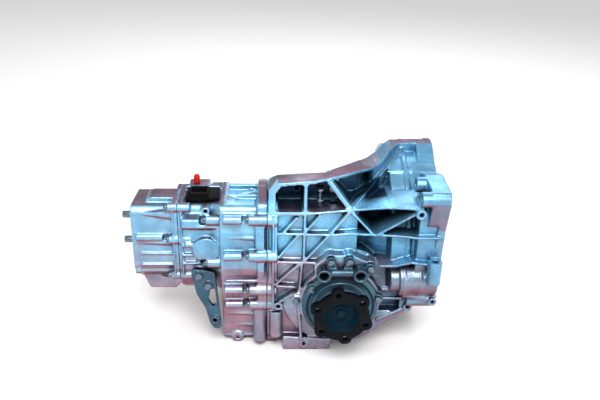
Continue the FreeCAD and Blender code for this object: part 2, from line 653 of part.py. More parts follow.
def rear_cover():
    body = prism_x(cover_outline(0), -COVER_END, -TRANSFER_END, 12)
    lip = prism_x(cover_outline(12), -TRANSFER_END - 10, -TRANSFER_END, 12)
    ridge = rod_x(-COVER_END + 8, -TRANSFER_END, -COVER_NEAR + 1, 14, 8)
    top = prism_y([(-COVER_END + 22, COVER_TOP - 18), (-COVER_END + 28, COVER_TOP + 8),
                   (-COVER_END + 38, COVER_TOP + 12), (-TRANSFER_END, COVER_TOP + 12),
                   (-TRANSFER_END, COVER_TOP - 18)], -80, -38, 5)
    bosses = [rod_x(-TRANSFER_END - 18, -TRANSFER_END, y, z, 9) for y, z in COVER_BOLTS]
    ribs = [rib_x([(-COVER_NEAR - 4, z), (-COVER_NEAR + 12, z)], -COVER_END + 14, -TRANSFER_END, 4)
            for z in (-20, -44)]
    heel = prism_y([(-COVER_END + 4, -92), (-COVER_END + 18, -112 - HEEL), (-TRANSFER_END - 18, -112 - HEEL),
                    (-TRANSFER_END, -110)], -52, 40, 4)
    solid = fuse(body, lip, ridge, top, heel, *bosses, *ribs)
    voids = [rod_x(-COVER_END + REAR_WALL, -TRANSFER_END + 1, 0, 0, COVER_BORE),
             rod_x(-COVER_END - 1, -COVER_END + 30, 0, 0, REAR_BEARING_RADIUS)]
    voids += [bolt_hole(V(-TRANSFER_END - 18, y, z), V(-1, 0, 0), 18) for y, z in COVER_BOLTS]
    voids += [spot_face(V(-TRANSFER_END - 18, y, z), V(-1, 0, 0)) for y, z in COVER_BOLTS]
    voids += [rod_x(-COVER_END - 1, -COVER_END + 12, y, z, PIN_RADIUS) for y, z in REAR_PINS]
    return cut(solid, *voids)


def mounting_bracket():
    """Cast arm bolted under the transfer housing, with an oval window and an eye at its tip."""
    face = -BRACKET_FACE
    x, z = BRACKET_EYE
    arm = [(x - 43, z + 112), (x - 22, z + 110), (x + 2, z + 104), (x + 4, z + 78), (x + 12, z - 20),
           (x, z - 24), (x - 10, z - 10), (x - 18, z + 26), (x - 34, z + 58)]
    hole = [(x - 7, z + 67), (x + 1, z + 70), (x + 4, z + 36), (x - 3, z + 26), (x - 12, z + 42)]
    plate = prism_y(arm, face - BRACKET_THICK, face, 7)
    eye = rod_y(face - BRACKET_THICK - 5, face, x, z, 9)
    bosses = [rod_y(face - BRACKET_THICK - 3, face, a, b, 9) for a, b in BRACKET_BOLTS]
    holes = [bolt_hole(V(a, face - BRACKET_THICK - 3, b), V(0, -1, 0), BRACKET_THICK + 3)
             for a, b in BRACKET_BOLTS]
    return cut(fuse(plate, eye, *bosses), prism_y(hole, face - 30, face + 10, 4),
               rod_y(face - BRACKET_THICK - 6, face + 1, x, z, 4.5), *holes)


def port_places():
    return [(DIFF_X + side * PORT_SPREAD / 2, DIFF_Z + PORT_Z) for side in (-1, 1)]


def differential_cover(side):
    """Round plate with a bearing snout and a lobe for each bolt, the near one carries the cooler ports."""
    face = side * CHAMBER_HALF
    outer = side * (CHAMBER_HALF + COVER_THICK)
    plate = rod_y(face, outer, DIFF_X, DIFF_Z, COVER_DISC)
    snout = turned([(0, 0), (0, SNOUT_RADIUS), (SNOUT_LENGTH - 4, SNOUT_RADIUS - 4),
                    (SNOUT_LENGTH, SNOUT_RADIUS - 9), (SNOUT_LENGTH, 0)],
                   V(DIFF_X, outer, DIFF_Z), V(0, side, 0))
    spigot = rod_y(face, face - side * SPIGOT_DEPTH, DIFF_X, DIFF_Z, SPIGOT)
    places = [diff_point(*p) for p in DIFF_BOLTS]
    parts = [snout, spigot] + [rod_y(face, outer, x, z, 10) for x, z in places]
    parts += [rib_y([(DIFF_X, DIFF_Z), place], face, outer, 16) for place in places[:3]]
    voids = [rod_y(side * 100, side * 220, DIFF_X, DIFF_Z, SEAL_RADIUS),
             rod_y(face - side * (SPIGOT_DEPTH + 1), face, DIFF_X, DIFF_Z, SIDE_BEARING_RADIUS)]
    voids += [bolt_hole(V(x, outer, z), V(0, side, 0), COVER_THICK) for x, z in places]
    if side < 0:
        parts += [rod_y(face, outer - PORT_HEIGHT, x, z, PORT_RADIUS) for x, z in port_places()]
        parts.append(rod_x(DIFF_X - 20, DIFF_X + 20, outer, DIFF_Z + PORT_Z, 9))
        voids += [rod_y(outer - PORT_HEIGHT - 1, face - 4, x, z, PORT_BORE) for x, z in port_places()]
    return cut(fuse(plate, *parts), *voids)


def control_cover():
    left, right = LEVER_X - 27, LEVER_X + 29
    outer = CASE_FAR + CONTROL_THICK
    plate = prism_y([(left, CONTROL_TOP), (right, CONTROL_TOP), (right, CONTROL_LOW), (left, CONTROL_LOW)],
                    CASE_FAR, outer, 9)
    swell = prism_y([(left + 11, CONTROL_TOP - 20), (right - 11, CONTROL_TOP - 20),
                     (right - 11, CONTROL_LOW + 20), (left + 11, CONTROL_LOW + 20)], CASE_FAR, outer + 5, 8)
    holes = [bolt_hole(V(x, outer, z), V(0, 1, 0), CONTROL_THICK) for x, z in CONTROL_BOLTS]
    return cut(fuse(plate, swell), *holes)


# Drive flanges and the differential

def output_flange(side):
    """Six-lobed drive flange with a recessed cup, a hub in the seal and a stub in the differential."""
    face = side * FLANGE_FACE
    inner = side * (FLANGE_FACE - FLANGE_PLATE)
    plate = rod_y(face, inner, DIFF_X, DIFF_Z, DISC_RADIUS)
    lobes = []
    holes = []
    for k in range(FLANGE_HOLES):
        angle = math.radians(FIRST_LOBE + 360.0 * k / FLANGE_HOLES)
        x = DIFF_X + FLANGE_PCD / 2 * math.cos(angle)
        z = DIFF_Z + FLANGE_PCD / 2 * math.sin(angle)
        lobes.append(rod_y(face, inner, x, z, LOBE_RADIUS))
        holes.append(rod_y(face + side, inner - side, x, z, FLANGE_HOLE))
    hub = rod_y(inner, side * HUB_END, DIFF_X, DIFF_Z, HUB_RADIUS)
    stub = rod_y(inner, side * STUB_END, DIFF_X, DIFF_Z, STUB_RADIUS)
    cup = turned([(-1, 0), (-1, CUP_RADIUS), (CUP_DEPTH - 6, CUP_RADIUS - 5), (CUP_DEPTH, CUP_RADIUS - 8),
                  (CUP_DEPTH, 0)], V(DIFF_X, face, DIFF_Z), V(0, -side, 0))
    return cut(fuse(plate, hub, stub, *lobes), cup, *holes)


def flange_screw(side):
    seat = V(DIFF_X, side * (FLANGE_FACE - CUP_DEPTH), DIFF_Z)
    axis = V(0, side, 0)
    washer = Part.makeCylinder(STUB_RADIUS, 2.5, seat, axis)
    return washer.fuse(hexagon(seat + axis * 2.5, axis, 17, 5.5))


def axle_seal(side):
    seat = V(DIFF_X, side * (CHAMBER_HALF + COVER_THICK + SNOUT_LENGTH - SEAL_WIDTH), DIFF_Z)
    return ring(seat, V(0, side, 0), SEAL_RADIUS, HUB_RADIUS + RUN, SEAL_WIDTH)


def differential_bearings():
    rings = []
    for side in (-1, 1):
        seat = V(DIFF_X, side * (CHAMBER_HALF - SPIGOT_DEPTH), DIFF_Z)
        rings.append(ring(seat, V(0, side, 0), SIDE_BEARING_RADIUS, TRUNNION_RADIUS + RUN, SPIGOT_DEPTH))
    return Part.makeCompound(rings)


def differential_carrier():
    """Case of the bevel gears on its two trunnions, open at two windows."""
    body = turned([(-CARRIER_HALF, 0), (-CARRIER_HALF, 34), (-44, CARRIER_RADIUS),
                   (RING_BACK, CARRIER_RADIUS), (RING_BACK, 62), (RING_BACK + 9, 62),
                   (CARRIER_HALF, 34), (CARRIER_HALF, 0)],
                  V(DIFF_X, 0, DIFF_Z), V(0, 1, 0))
    trunnions = rod_y(-TRUNNION_END, TRUNNION_END, DIFF_X, DIFF_Z, TRUNNION_RADIUS)
    bore = rod_y(-TRUNNION_END - 1, TRUNNION_END + 1, DIFF_X, DIFF_Z, STUB_RADIUS + RUN)
    window = rod_x(DIFF_X - 60, DIFF_X + 60, 0, DIFF_Z, 24)
    return cut(fuse(body, trunnions), bore, window)


def ring_gear():
    """Crown wheel seated on the carrier's flange, its toothed face towards the pinion."""
    base = V(DIFF_X, 0, DIFF_Z)
    front = RING_BACK - RING_THICK
    blank = turned([(front + 5, CARRIER_RADIUS), (front, RING_RADIUS - 20), (front, RING_RADIUS - 14),
                    (front + 6, RING_RADIUS), (RING_BACK, RING_RADIUS), (RING_BACK, CARRIER_RADIUS)],
                   base, V(0, 1, 0))
    gaps = []
    for k in range(RING_TEETH):
        gap = Part.makeBox(30, 5, 5, V(RING_RADIUS - 24, -2.5, -1))
        turn = FreeCAD.Rotation(V(0, 1, 0), 360.0 * k / RING_TEETH) * FreeCAD.Rotation(V(1, 0, 0), -90)
        gap.Placement = FreeCAD.Placement(V(DIFF_X, front, DIFF_Z), turn)
        gaps.append(gap)
    return blank.cut(gaps)


def drive_pinion():
    """Pinion and its shaft, with the fixed wheel of the transfer pair."""
    head = spur_gear(PINION_X, -SHAFT_DROP, PINION_TEETH, PINION_RADIUS / PINION_TEETH, 0, 0, PINION_LENGTH)
    shaft = rod_x(-CASE_END, PINION_X, 0, -SHAFT_DROP, LAY_SHAFT_RADIUS)
    lower = TRANSFER_TEETH[1]
    wheel = spur_gear(TRANSFER_PLACE, -SHAFT_DROP, lower, pair_pitch(TRANSFER_TEETH), 0, math.pi / lower)
    return fuse(shaft, head, wheel)


def pinion_bearings():
    rings = [ring(V(-CASE_END, 0, -SHAFT_DROP), V(1, 0, 0), TUNNEL, LAY_SHAFT_RADIUS + RUN, WALL),
             ring(V(-MAIN_JOINT + 14, 0, -SHAFT_DROP), V(1, 0, 0), TUNNEL, LAY_SHAFT_RADIUS + RUN, 15)]
    return Part.makeCompound(rings)


def input_shaft():
    nose = rod_x(-INPUT_NOSE, INPUT_TIP, 0, 0, INPUT_RADIUS)
    return fuse(rod_x(-CLUTCH_START, -INPUT_NOSE, 0, 0, INPUT_RADIUS + 1), nose)


def clutch_pack():
    """Drum of the twin clutch: outer basket, two shoulders and the hub on the main shaft."""
    return turned([(-CLUTCH_END, MAIN_SHAFT_RADIUS), (-CLUTCH_END, 30), (-CLUTCH_END + 4, 58),
                   (-CLUTCH_END + 4, CLUTCH_RADIUS), (-CLUTCH_START - 5, CLUTCH_RADIUS),
                   (-CLUTCH_START - 5, 40), (-CLUTCH_START, 26), (-CLUTCH_START, 0),
                   (-CLUTCH_START - 10, 0), (-CLUTCH_START - 10, MAIN_SHAFT_RADIUS)], V(0, 0, 0), V(1, 0, 0))


def main_shaft():
    """Hollow-shaft line with its two fixed wheels, its tip runs inside the rear shaft."""
    shaft = rod_x(TRANSFER_PLACE + GEAR_WIDTH / 2 + 1, -CLUTCH_START - 10, 0, 0, MAIN_SHAFT_RADIUS)
    pilot = rod_x(TRANSFER_PLACE - GEAR_WIDTH / 2, -MAIN_JOINT, 0, 0, PILOT_RADIUS)
    wheels = [spur_gear(x, 0, teeth[0], pair_pitch(teeth), 0)
              for x, teeth in zip(PAIR_PLACES, (FIRST_TEETH, SECOND_TEETH))]
    return fuse(shaft, pilot, *wheels)


def idler_gear(x, teeth):
    return spur_gear(x, -SHAFT_DROP, teeth[1], pair_pitch(teeth), LAY_SHAFT_RADIUS + RUN, math.pi / teeth[1])


def input_bearings():
    rings = [ring(V(x, 0, 0), V(1, 0, 0), INPUT_BORE, INPUT_RADIUS + 1 + RUN, 12)
             for x in (-INPUT_LENGTH, -MOUTH_DEPTH - 18)]
    return Part.makeCompound(rings)


def input_seal():
    return ring(V(-MOUTH_DEPTH - 6, 0, 0), V(1, 0, 0), INPUT_BORE, INPUT_RADIUS + 1 + RUN, 6)


def rear_shaft():
    x = TRANSFER_PLACE
    wheel = spur_gear(x, 0, TRANSFER_TEETH[0], pair_pitch(TRANSFER_TEETH), 0)
    shaft = rod_x(-COVER_END - REAR_FLANGE_THICK - 2, x, 0, 0, REAR_SHAFT_RADIUS)
    pilot = rod_x(x - GEAR_WIDTH / 2 - 1, x + GEAR_WIDTH, 0, 0, PILOT_RADIUS + RUN)
    return cut(fuse(shaft, wheel), pilot)


def rear_bearings():
    rings = [ring(V(x, 0, 0), V(1, 0, 0), REAR_BEARING_RADIUS, REAR_SHAFT_RADIUS + RUN, length)
             for x, length in ((-CASE_END, WALL), (-COVER_END + 4, REAR_WALL - 4))]
    return Part.makeCompound(rings)


def rear_seal():
    return ring(V(-COVER_END, 0, 0), V(1, 0, 0), REAR_BEARING_RADIUS, REAR_SHAFT_RADIUS + RUN, 4)


def rear_flange():
    start = -COVER_END - 2 - REAR_FLANGE_THICK
    plate = ring(V(start, 0, 0), V(1, 0, 0), REAR_FLANGE_RADIUS, REAR_SHAFT_RADIUS, REAR_FLANGE_THICK)
    holes = []
    for k in range(4):
        angle = math.radians(45 + 90 * k)
        holes.append(rod_x(start - 1, start + REAR_FLANGE_THICK + 1, REAR_FLANGE_PCD / 2 * math.cos(angle),
                           REAR_FLANGE_PCD / 2 * math.sin(angle), FLANGE_HOLE))
    return cut(plate, *holes)


# Controls and small parts

def selector_shaft():
    return rod_y(CASE_FAR - 50, CASE_FAR + 24, LEVER_X, LEVER_Z, LEVER_RADIUS)


def selector_lever():
    z = LEVER_Z
    path = [(LEVER_X, z), (LEVER_X - LEVER_LENGTH, z + 12)]
    arm = prism_y(strip(path, 14), CASE_FAR + 16, CASE_FAR + 22, 3)
    hub = rod_y(CASE_FAR + 12, CASE_FAR + 24, LEVER_X, z, 12)
    ball = rod_y(CASE_FAR + 16, CASE_FAR + 32, LEVER_X - LEVER_LENGTH + 8, z + 10, 5)
    return cut(fuse(arm, hub, ball), rod_y(CASE_FAR, CASE_FAR + 40, LEVER_X, z, LEVER_RADIUS))


def connector():
    """Multi-pin connector on the deck, a low box with a raised socket frame."""
    left, right = -TRANSFER_END + 14, -CASE_END - 3
    near, deck = -TRANSFER_NEAR + 23, TRANSFER_TOP - 4
    far, shoulder = near + CONNECTOR_DEPTH, TRANSFER_TOP + 2
    foot = prism_z([(left, near), (left + 38, near), (left + 38, far), (left, far)], deck, shoulder, 5)
    base = prism_z([(left, near - 2), (right, near - 2), (right, far), (left, far)],
                   shoulder, shoulder + 5, 5)
    frame = prism_z([(left + 6, near + 5), (left + 42, near + 5), (left + 42, near + 38),
                     (left + 6, near + 38)], shoulder + 5, shoulder + 11, 4)
    socket = prism_z([(left + 10, near + 9), (left + 38, near + 9), (left + 38, near + 34),
                      (left + 10, near + 34)], shoulder + 4, shoulder + 12, 3)
    return cut(fuse(foot, base, frame), socket)


def vent_pipe():
    foot = SHELF_Z + 4
    stem = rod_z(foot, foot + VENT_LENGTH, VENT_X, VENT_Y, 3)
    collar = rod_z(foot, foot + 4, VENT_X, VENT_Y, 7)
    cap = rod_z(foot + VENT_LENGTH - 4, foot + VENT_LENGTH, VENT_X, VENT_Y, 7)
    return fuse(stem, collar, cap)


def breather_cap():
    base = V(BREATHER_X, BREATHER_Y, TRANSFER_TOP - 4)
    return turned([(0, 0), (0, 4), (9, 4), (9, 6), (22, 6), (26, 4), (26, 0)], base, V(0, 0, 1))


def filler_plug():
    stem = rod_y(-PLUG_FACE + 14, -PLUG_FACE, PLUG_X, PLUG_Z, TAPPED)
    return stem.fuse(hexagon(V(PLUG_X, -PLUG_FACE, PLUG_Z), V(0, -1, 0), 13, 4))


def dowels():
    """Stepped pins, the wider half sits in the flange up to its face."""
    pins = []
    for y, z in DOWEL_HOLES:
        seat = rod_x(-DOWEL_DEPTH, 0, y, z, DOWEL_SEAT)
        pins.append(fuse(seat, rod_x(0, DOWEL_REACH, y, z, DOWEL_RADIUS)))
    return Part.makeCompound(pins)


def rear_pins():
    return Part.makeCompound([rod_x(-COVER_END - PIN_REACH, -COVER_END + 12, y, z, PIN_RADIUS)
                              for y, z in REAR_PINS])


def bolt_row(places, seat, axis, length):
    """Bolts that share an axis, placed by the two coordinates across it."""
    if axis.x:
        return Part.makeCompound([bolt(V(seat, a, b), axis, length) for a, b in places])
    return Part.makeCompound([bolt(V(a, seat, b), axis, length) for a, b in places])


def fasteners():
    back = V(-1, 0, 0)
    cover_seat = CHAMBER_HALF + COVER_THICK
    diff_places = [diff_point(*p) for p in DIFF_BOLTS]
    return {
        "case_bolts": bolt_row(MAIN_BOLTS, -MAIN_JOINT - 34, back, 34 + 15),
        "transfer_bolts": bolt_row(TRANSFER_BOLTS, -CASE_END - 26, back, 26 + 10),
        "cover_bolts": bolt_row(COVER_BOLTS, -TRANSFER_END - 18, back, 18 + 15),
        "differential_bolts": bolt_row(diff_places, -cover_seat, V(0, -1, 0), COVER_THICK + 13),
        "far_differential_bolts": bolt_row(diff_places, cover_seat, V(0, 1, 0), COVER_THICK + 13),
        "control_bolts": bolt_row(CONTROL_BOLTS, CASE_FAR + CONTROL_THICK, V(0, 1, 0), CONTROL_THICK + 13),
        "bracket_bolts": bolt_row(BRACKET_BOLTS, -BRACKET_FACE - BRACKET_THICK - 3, V(0, -1, 0),
                                  BRACKET_THICK + 18),
    }


def nodes():
    made = {
        "clutch_housing": clutch_housing(), "gear_case": gear_case(), "transfer_housing": transfer_housing(),
        "rear_cover": rear_cover(), "mounting_bracket": mounting_bracket(), "control_cover": control_cover(),
        "differential_cover": differential_cover(-1), "far_differential_cover": differential_cover(1),
        "output_flange": output_flange(-1), "far_output_flange": output_flange(1),
        "flange_screw": flange_screw(-1), "far_flange_screw": flange_screw(1),
        "axle_seal": axle_seal(-1), "far_axle_seal": axle_seal(1),
        "differential_bearings": differential_bearings(), "differential_carrier": differential_carrier(),
        "ring_gear": ring_gear(), "drive_pinion": drive_pinion(), "pinion_bearings": pinion_bearings(),
        "input_shaft": input_shaft(), "clutch_pack": clutch_pack(), "main_shaft": main_shaft(),
        "input_bearings": input_bearings(), "input_seal": input_seal(),
        "rear_shaft": rear_shaft(), "rear_bearings": rear_bearings(), "rear_seal": rear_seal(),
        "rear_flange": rear_flange(),
        "selector_shaft": selector_shaft(), "selector_lever": selector_lever(),
        "connector": connector(), "vent_pipe": vent_pipe(), "breather_cap": breather_cap(),
        "filler_plug": filler_plug(),
        "dowels": dowels(), "rear_pins": rear_pins(),
    }
    for number, pair in enumerate(zip(PAIR_PLACES, (FIRST_TEETH, SECOND_TEETH)), 1):
        made["idler_gear_%d" % number] = idler_gear(*pair)
    made.update(fasteners())
    return made


def main():
    os.makedirs("parts", exist_ok=True)
    for name, shape in nodes().items():
        if not shape.isValid():
            print("not valid:", name)
        shape.exportStep("parts/%s.step" % name)


main()
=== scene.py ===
import bpy, bmesh, json, math
from mathutils import Matrix, Vector


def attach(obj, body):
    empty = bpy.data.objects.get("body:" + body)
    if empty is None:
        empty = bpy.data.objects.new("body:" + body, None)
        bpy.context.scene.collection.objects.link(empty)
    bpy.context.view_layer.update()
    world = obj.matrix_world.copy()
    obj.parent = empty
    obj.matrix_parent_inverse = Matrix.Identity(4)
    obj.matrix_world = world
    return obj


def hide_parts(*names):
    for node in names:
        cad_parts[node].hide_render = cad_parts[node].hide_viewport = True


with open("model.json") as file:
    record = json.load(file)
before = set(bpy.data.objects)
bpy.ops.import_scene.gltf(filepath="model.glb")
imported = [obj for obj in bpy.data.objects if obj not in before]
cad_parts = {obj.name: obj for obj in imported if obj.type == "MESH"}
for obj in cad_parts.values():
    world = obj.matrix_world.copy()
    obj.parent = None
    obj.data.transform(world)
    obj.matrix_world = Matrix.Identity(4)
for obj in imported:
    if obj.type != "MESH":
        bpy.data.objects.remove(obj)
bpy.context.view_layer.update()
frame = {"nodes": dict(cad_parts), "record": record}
nodes = frame["nodes"]
MM = 0.001

# Camera: the photograph's angle, lens and distance
YAW, PITCH, ROLL = math.radians(3.0), math.radians(25.5), math.radians(1.5)
CAMERA_AT = Vector((-0.31504, -1.25724, 0.64375))
LENS = 42.0
SENSOR = 36.0

# Studio: a floor just under the lowest face, and lamps in watts
FLOOR_Z = -0.2173
FLOOR_HALF = 14.0
FLOOR_COLOUR = (0.97, 0.97, 0.97)
WORLD_LIGHT = 0.6
KEY_POWER, FILL_POWER, BACK_POWER = 84, 14, 24

# Places that the model shares with the frame, in millimetres
DIFF_X, DIFF_Z = -178.0, -96.0
STARTER_Y, STARTER_Z = -150.0, -45.0

FINE = 1.0
ROD_SIDES = 28
SHARP_EDGE = math.radians(38)


# Camera, floor and light

def make_camera():
    forward = Vector((math.sin(YAW) * math.cos(PITCH), math.cos(YAW) * math.cos(PITCH), -math.sin(PITCH)))
    flat_right = Vector((math.cos(YAW), -math.sin(YAW), 0))
    flat_up = flat_right.cross(forward)
    right = flat_right * math.cos(ROLL) + flat_up * math.sin(ROLL)
    up = flat_up * math.cos(ROLL) - flat_right * math.sin(ROLL)
    data = bpy.data.cameras.new("camera")
    data.lens = LENS
    data.sensor_width = SENSOR
    data.clip_end = 60
    camera = bpy.data.objects.new("camera", data)
    bpy.context.scene.collection.objects.link(camera)
    turn = Matrix((right, up, -forward)).transposed().to_4x4()
    camera.matrix_world = Matrix.Translation(CAMERA_AT) @ turn
    bpy.context.scene.camera = camera


def area_light(name, at, aim, size, power):
    data = bpy.data.lights.new(name, "AREA")
    data.shape = "RECTANGLE"
    data.size, data.size_y = size
    data.energy = power
    lamp = bpy.data.objects.new(name, data)
    bpy.context.scene.collection.objects.link(lamp)
    lamp.location = at
    lamp.rotation_euler = (Vector(aim) - Vector(at)).to_track_quat("-Z", "Y").to_euler()


def make_world():
    """Soft even light from all round, with a white backdrop for the camera."""
    world = bpy.data.worlds.new("studio")
    bpy.context.scene.world = world
    world.use_nodes = True
    tree = world.node_tree
    tree.nodes.clear()
    out = tree.nodes.new("ShaderNodeOutputWorld")
    path = tree.nodes.new("ShaderNodeLightPath")
    mix = tree.nodes.new("ShaderNodeMixShader")
    tree.links.new(path.outputs["Is Camera Ray"], mix.inputs[0])
    for socket, strength in ((1, WORLD_LIGHT), (2, 1.0)):
        glow = tree.nodes.new("ShaderNodeBackground")
        glow.inputs["Color"].default_value = (1, 1, 1, 1)
        glow.inputs["Strength"].default_value = strength
        tree.links.new(glow.outputs[0], mix.inputs[socket])
    tree.links.new(mix.outputs[0], out.inputs[0])


def make_floor():
    mesh = bpy.data.meshes.new("floor")
    corners = [(x * FLOOR_HALF, y * FLOOR_HALF, FLOOR_Z) for x, y in ((-1, -1), (1, -1), (1, 1), (-1, 1))]
    mesh.from_pydata(corners, [], [(0, 1, 2, 3)])
    floor = bpy.data.objects.new("floor", mesh)
    bpy.context.scene.collection.objects.link(floor)
    made = bpy.data.materials.new("floor")
    made.use_nodes = True
    shader = made.node_tree.nodes["Principled BSDF"]
    shader.inputs["Base Color"].default_value = (*FLOOR_COLOUR, 1)
    shader.inputs["Roughness"].default_value = 0.9
    shader.inputs["Specular IOR Level"].default_value = 0.1
    mesh.materials.append(made)


# Materials

class Nodes:
    """Short names for building a node tree."""

    def __init__(self, name):
        self.made = bpy.data.materials.new(name)
        self.made.use_nodes = True
        self.tree = self.made.node_tree
        self.shader = self.tree.nodes["Principled BSDF"]

    def add(self, kind, **values):
        node = self.tree.nodes.new(kind)
        for key, value in values.items():
            setattr(node, key, value)
        return node

    def link(self, source, target):
        self.tree.links.new(source, target)

    def feed(self, name, source):
        """Gives a number or a socket to one of the shader's inputs."""
        if isinstance(source, (int, float)):
            self.shader.inputs[name].default_value = source
        else:
            self.link(source, self.shader.inputs[name])

    def xyz(self, kind):
        """The three parts of a point's place, Object, or of its direction, Normal."""
        split = self.add("ShaderNodeSeparateXYZ")
        self.link(self.add("ShaderNodeTexCoord").outputs[kind], split.inputs[0])
        return split.outputs

    def noise(self, scale, detail=3.0, rough=0.55):
        where = self.add("ShaderNodeTexCoord")
        node = self.add("ShaderNodeTexNoise")
        node.inputs["Scale"].default_value = scale
        node.inputs["Detail"].default_value = detail
        node.inputs["Roughness"].default_value = rough
        self.link(where.outputs["Object"], node.inputs["Vector"])
        return node.outputs["Fac"]

    def ramp(self, source, stops):
        node = self.add("ShaderNodeValToRGB")
        points = node.color_ramp.elements
        while len(points) < len(stops):
            points.new(0.5)
        for point, (place, colour) in zip(points, stops):
            point.position = place
            point.color = (*colour, 1)
        self.link(source, node.inputs[0])
        return node.outputs["Color"]

    def greys(self, source, *stops):
        """A ramp of greys, each stop a place and a brightness."""
        return self.ramp(source, [(place, (value, value, value)) for place, value in stops])

    def math(self, operation, a, b=None, clamp=False):
        node = self.add("ShaderNodeMath", operation=operation, use_clamp=clamp)
        for socket, value in ((0, a), (1, b)):
            if value is None:
                continue
            if isinstance(value, (int, float)):
                node.inputs[socket].default_value = value
            else:
                self.link(value, node.inputs[socket])
        return node.outputs[0]

    def line(self, source, factor, offset, clamp=False):
        node = self.add("ShaderNodeMath", operation="MULTIPLY_ADD", use_clamp=clamp)
        self.link(source, node.inputs[0])
        node.inputs[1].default_value = factor
        node.inputs[2].default_value = offset
        return node.outputs[0]

    def rise(self, source, start, end):
        """Goes from 0 to 1 while the source passes from start to end."""
        slope = 1 / (end - start)
        return self.line(source, slope, -start * slope, True)

    def product(self, first, *others):
        for other in others:
            first = self.math("MULTIPLY", first, other)
        return first

    def within(self, place, sides):
        """Share of a region, given by an axis, a start and a full place for each of its sides."""
        return self.product(*[self.rise(place[axis], start, full) for axis, start, full in sides])

    def distance(self, first, second, middle):
        """How far a point is from the middle, in the plane of two of its parts."""
        squares = []
        for source, place in ((first, middle[0]), (second, middle[1])):
            offset = self.math("ADD", source, -place)
            squares.append(self.math("MULTIPLY", offset, offset))
        return self.math("SQRT", self.math("ADD", *squares))

    def mix(self, share, a, b, blend="MIX"):
        node = self.add("ShaderNodeMix", data_type="RGBA", blend_type=blend)
        for socket, value in ((0, share), (6, a), (7, b)):
            if isinstance(value, (int, float)):
                node.inputs[socket].default_value = value
            elif isinstance(value, tuple):
                node.inputs[socket].default_value = (*value, 1)
            else:
                self.link(value, node.inputs[socket])
        return node.outputs[2]

    def bump(self, height, strength, distance):
        node = self.add("ShaderNodeBump")
        node.inputs["Strength"].default_value = strength
        node.inputs["Distance"].default_value = distance
        self.link(height, node.inputs["Height"])
        return node.outputs["Normal"]


# Painted light and shade of a casting, by the way its faces look: from faces that look down, 0, darkest and
# reddish, to faces that look up, 1
HIGH_PAINTED_LIGHT_TONES = [(0.0, (0.07, 0.006, 0.012)), (0.20, (0.28, 0.035, 0.05)), (0.34, (0.30, 0.17, 0.23)),
              (0.44, (0.22, 0.37, 0.50)), (0.52, (0.15, 0.40, 0.62)), (0.66, (0.32, 0.64, 0.84)),
              (0.94, (0.22, 0.48, 0.70)), (0.98, (0.12, 0.055, 0.10))]
LOW_PAINTED_LIGHT_TONES = [(0.0, (0.06, 0.006, 0.012)), (0.22, (0.24, 0.02, 0.03)), (0.40, (0.34, 0.17, 0.22)),
             (0.50, (0.30, 0.25, 0.33)), (0.60, (0.33, 0.35, 0.43)), (0.78, (0.44, 0.52, 0.62)),
             (0.92, (0.40, 0.30, 0.40)), (0.98, (0.14, 0.06, 0.10))]
STREAK_TONES = [(0.34, (0.45, 0.52, 0.60)), (0.54, (1, 1, 1)), (0.68, (1.5, 1.5, 1.5))]
PATCH_COLOUR = (0.27, 0.31, 0.38)
# Painted shade in the hollows
HOLLOW_SHADE_COLOUR = (0.003, 0.024, 0.05)
# Painted shade in the windows
WINDOW_SHADE_COLOUR = (0.001, 0.020, 0.048)
# Painted highlight on the edges
EDGE_HIGHLIGHT_COLOUR = (0.80, 0.90, 0.96)
# Painted shade in the creases
CREASE_SHADE_COLOUR = (0.008, 0.045, 0.085)
# Painted light on the panels
PANEL_LIGHT_TINT = (1.22, 1.34, 1.34)
# Painted shade on the front
FRONT_SHADE_TINT = (0.60, 0.74, 0.80)

# How strongly each layer of colour shows
PATCH_SHARE, STREAK_SHARE = 0.3, 0.55
HOLLOW_SHADE_SHARE, WINDOW_SHADE_SHARE = 0.97, 0.97
EDGE_HIGHLIGHT_SHARE, CREASE_SHADE_SHARE = 0.65, 0.8
PANEL_LIGHT_SHARE, FRONT_SHADE_SHARE = 0.9, 0.9

# Places of the colour changes, in metres, and how steeply they come
BEHIND_TRUSS = -0.172
TRUSS_TOP, BELL_STEP = 0.118, 0.042
TOP_SLOPE = 100.0
COOL_SLOPE = 9.0
HOLLOW_SHADE_REACH = 0.10
STARTER_EDGE = (0.03778, 0.04889)

# Regions in metres, each side with its axis, where it starts and where it is full
X, Y, Z = 0, 1, 2
BELL = ((X, -0.100, -0.090),)
FRONT = ((X, -0.170, -0.145),)
DECK = ((X, -0.400, -0.390), (X, -0.330, -0.340))
WINDOWS = ((Y, -0.130, -0.1217), (Y, -0.084, -0.089), (X, -0.095, -0.100),
           (Z, 0.095, 0.100), (Z, 0.150, 0.145))
PANELS = ((Y, -0.132, -0.1353), (Z, -0.040, -0.0233), (X, -0.0833, -0.100))


def mauve_top_shading(m, place, pocket):
    """Share of painted mauve shade on the faces that look up: the high ones, and all behind the truss but
    for the deck.
    """
    height = m.line(place[Z], TOP_SLOPE, -TOP_SLOPE * TRUSS_TOP)
    high = m.math("SUBTRACT", height, m.product(m.within(place, BELL), TOP_SLOPE * BELL_STEP))
    behind = m.line(place[X], -TOP_SLOPE, TOP_SLOPE * BEHIND_TRUSS)
    share = m.math("ADD", m.math("MAXIMUM", high, behind), 0.0, True)
    if pocket:
        return share
    return m.math("SUBTRACT", share, m.within(place, DECK), True)


